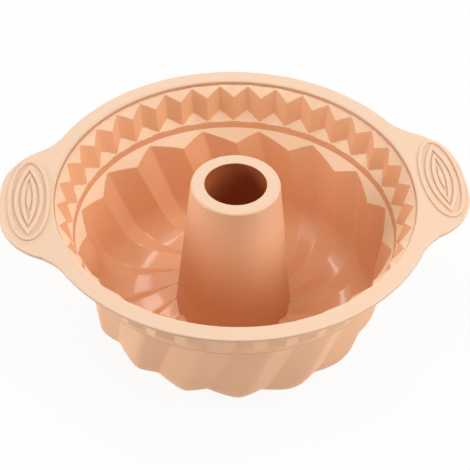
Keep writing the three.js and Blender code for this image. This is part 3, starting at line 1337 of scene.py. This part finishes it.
    def build(self) -> dict[Zone, bpy.types.Object]:
        """Builds the rim and both handles.

        Returns:
            The pieces, by zone.
        """
        blank = self.blank()
        self.add_grips(blank)
        split = self.sizes.mouth_radius + self.handle_root
        cuts = {
            Zone.RIM: [(split, -1.0), (-split, 1.0)],
            Zone.RIGHT_HANDLE: [(split, 1.0)],
            Zone.LEFT_HANDLE: [(-split, -1.0)],
        }
        pieces = {zone: self.cut(blank, zone.form, planes) for zone, planes in cuts.items()}
        bpy.data.objects.remove(blank)
        for piece in pieces.values():
            shade_smooth(piece, self.sharp_angle)
            flatten_broad_faces(piece)
        return pieces


@dataclass(frozen=True)
class SoftBox:
    """A soft box of the studio: angles in degrees, lengths in metres and power in watts.

    Azimuth is counted from +X towards the back, and elevation from the floor.
    """

    name: str
    azimuth: float
    elevation: float
    power: float
    width: float
    height: float
    distance: float = 1.2

    def direction(self) -> Vector:
        """Direction from the mould to the soft box.

        Returns:
            The direction, of length 1.
        """
        azimuth, elevation = math.radians(self.azimuth), math.radians(self.elevation)
        level = math.cos(elevation)
        return Vector((level * math.cos(azimuth), level * math.sin(azimuth), math.sin(elevation)))


@dataclass(frozen=True)
class Studio:
    """Pale floor, soft light and the camera of the photograph.

    The camera's place is counted from the middle of the rim, and view_turn is how far the mould is turned
    in its view, in degrees. Lengths of the camera are in millimetres and those of the floor in metres.
    """

    sizes: MouldSizes
    view_turn: float = 6.4
    camera_back: float = 575.1
    camera_rise: float = 519.3
    camera_right: tuple[float, float, float] = (0.9997, 0.0154, 0.0164)
    camera_up: tuple[float, float, float] = (-0.0225, 0.6946, 0.7190)
    camera_nearest: float = 10.0
    lens: float = 99.61
    sensor: float = 36.0
    floor_size: float = 8.0
    floor_shade: float = 0.9
    floor_roughness: float = 0.9
    floor_glow: float = 0.92
    shadow_reach: tuple[float, float] = (0.4, 0.9)
    room_strength: float = 0.05
    aim_height: float = 60.0
    soft_boxes: tuple[SoftBox, ...] = (
        SoftBox("left_window", azimuth=180.0, elevation=17.0, power=7.6, width=0.7, height=0.7),
        SoftBox("right_box", azimuth=0.0, elevation=38.0, power=9.9, width=0.9, height=0.9, distance=1.6),
        SoftBox("front_box", azimuth=-45.0, elevation=32.0, power=2.1, width=0.45, height=0.45, distance=0.8),
        SoftBox("back_window", azimuth=90.0, elevation=15.0, power=4.5, width=0.7, height=0.6),
        SoftBox("top_box", azimuth=90.0, elevation=88.0, power=1.75, width=0.31, height=0.31),
        SoftBox("top_fill", azimuth=180.0, elevation=77.0, power=6.4, width=1.4, height=1.4, distance=1.4),
    )

    @staticmethod
    def seen_ray(tree: bpy.types.NodeTree) -> bpy.types.Node:
        """Adds a mask of the rays that show a surface to the camera, directly, mirrored or through glass.

        Args:
            tree: The node tree that gets the mask.

        Returns:
            The node whose value is the mask.
        """
        path = add_node(tree, "LightPath")
        mirrored = add_node(tree, "Math", operation="MAXIMUM")
        seen = add_node(tree, "Math", operation="MAXIMUM")
        join(
            tree,
            (path, "Is Camera Ray", mirrored, 0),
            (path, "Is Glossy Ray", mirrored, 1),
            (mirrored, "Value", seen, 0),
            (path, "Is Transmission Ray", seen, 1),
        )
        return seen

    def camera(self) -> None:
        """Places the camera where the photograph was taken from."""
        data = bpy.data.cameras.new("photograph_camera")
        data.sensor_width = self.sensor
        data.lens = self.lens
        data.clip_start = self.camera_nearest * MM
        camera = bpy.data.objects.new("photograph_camera", data)
        bpy.context.collection.objects.link(camera)
        up = Vector(self.camera_up)
        back = Vector(self.camera_right).cross(up).normalized()
        right = up.cross(back).normalized()
        facing = Matrix((right, back.cross(right), back)).transposed().to_4x4()
        stand = Matrix.Translation(Vector((0.0, -self.camera_back, self.camera_rise)) * MM)
        turn = Matrix.Rotation(-math.radians(self.view_turn), 4, "Z")
        lift = Matrix.Translation((0.0, 0.0, self.sizes.rim_height * MM))
        camera.matrix_world = lift @ turn @ stand @ facing
        bpy.context.scene.camera = camera

    def floor_material(self) -> bpy.types.Material:
        """Pale matte floor that keeps the mould's shadow, shows white and is clear from below.

        Returns:
            The material.
        """
        material = bpy.data.materials.new("floor_white")
        material.use_nodes = True
        tree = material.node_tree
        shader = tree.nodes["Principled BSDF"]
        shade = self.floor_shade
        set_inputs(shader, {"Base Color": (shade, shade, shade, 1.0), "Roughness": self.floor_roughness})
        near, far = self.shadow_reach
        place = add_node(tree, "NewGeometry")
        away = add_node(tree, "VectorMath", operation="LENGTH")
        fade = add_node(tree, "MapRange", {"From Min": near, "From Max": far, "To Min": self.floor_glow})
        share = add_node(tree, "Math", operation="MULTIPLY")
        glow = add_node(tree, "Emission")
        upper_side = add_node(tree, "MixShader")
        clear = add_node(tree, "BsdfTransparent")
        sheet = add_node(tree, "MixShader")
        join(
            tree,
            (place, "Position", away, 0),
            (away, "Value", fade, "Value"),
            (self.seen_ray(tree), "Value", share, 0),
            (fade, "Result", share, 1),
            (share, "Value", upper_side, "Fac"),
            (shader, "BSDF", upper_side, 1),
            (glow, "Emission", upper_side, 2),
            (place, "Backfacing", sheet, "Fac"),
            (upper_side, "Shader", sheet, 1),
            (clear, "BSDF", sheet, 2),
            (sheet, "Shader", tree.nodes["Material Output"], "Surface"),
        )
        return material

    def floor(self) -> None:
        """Lays the floor."""
        bpy.ops.object.select_all(action="DESELECT")
        bpy.ops.mesh.primitive_plane_add(size=self.floor_size, location=(0.0, 0.0, 0.0))
        floor = bpy.context.object
        floor.name = "floor"
        floor.data.materials.append(self.floor_material())

    def room(self) -> None:
        """Fills in the shade from a pale room, which shows white."""
        world = bpy.data.worlds.new("pale_room")
        bpy.context.scene.world = world
        world.use_nodes = True
        tree = world.node_tree
        fill = tree.nodes["Background"]
        set_inputs(fill, {"Color": WHITE, "Strength": self.room_strength})
        white = add_node(tree, "Background", {"Color": WHITE, "Strength": 1.0})
        mix = add_node(tree, "MixShader")
        join(
            tree,
            (self.seen_ray(tree), "Value", mix, "Fac"),
            (fill, "Background", mix, 1),
            (white, "Background", mix, 2),
            (mix, "Shader", tree.nodes["World Output"], "Surface"),
        )

    def lamps(self) -> None:
        """Hangs the soft boxes, each turned to the middle of the mould."""
        aim = Vector((0.0, 0.0, self.aim_height)) * MM
        for box in self.soft_boxes:
            data = bpy.data.lights.new(box.name, "AREA")
            data.shape = "RECTANGLE"
            data.size = box.width
            data.size_y = box.height
            data.energy = box.power
            lamp = bpy.data.objects.new(box.name, data)
            lamp.visible_camera = False
            bpy.context.collection.objects.link(lamp)
            towards = box.direction()
            lamp.location = aim + towards * box.distance
            lamp.rotation_euler = (-towards).to_track_quat("-Z", "Y").to_euler()

    def build(self) -> None:
        """Sets up the whole studio."""
        bpy.context.scene.view_settings.view_transform = "Standard"
        self.camera()
        self.floor()
        self.room()
        self.lamps()


def main() -> None:
    """Builds the mould part by part, dresses it and sets up the studio."""
    sizes = MouldSizes()
    wardrobe = Wardrobe()
    rim = RimAndHandles(sizes, GripOvals(sizes))
    for part in (FlutedBowl(sizes), ZigzagBand(sizes), CentreTube(sizes), rim):
        part.make(wardrobe)
    Studio(sizes).build()


if __name__ == "__main__":
    main()
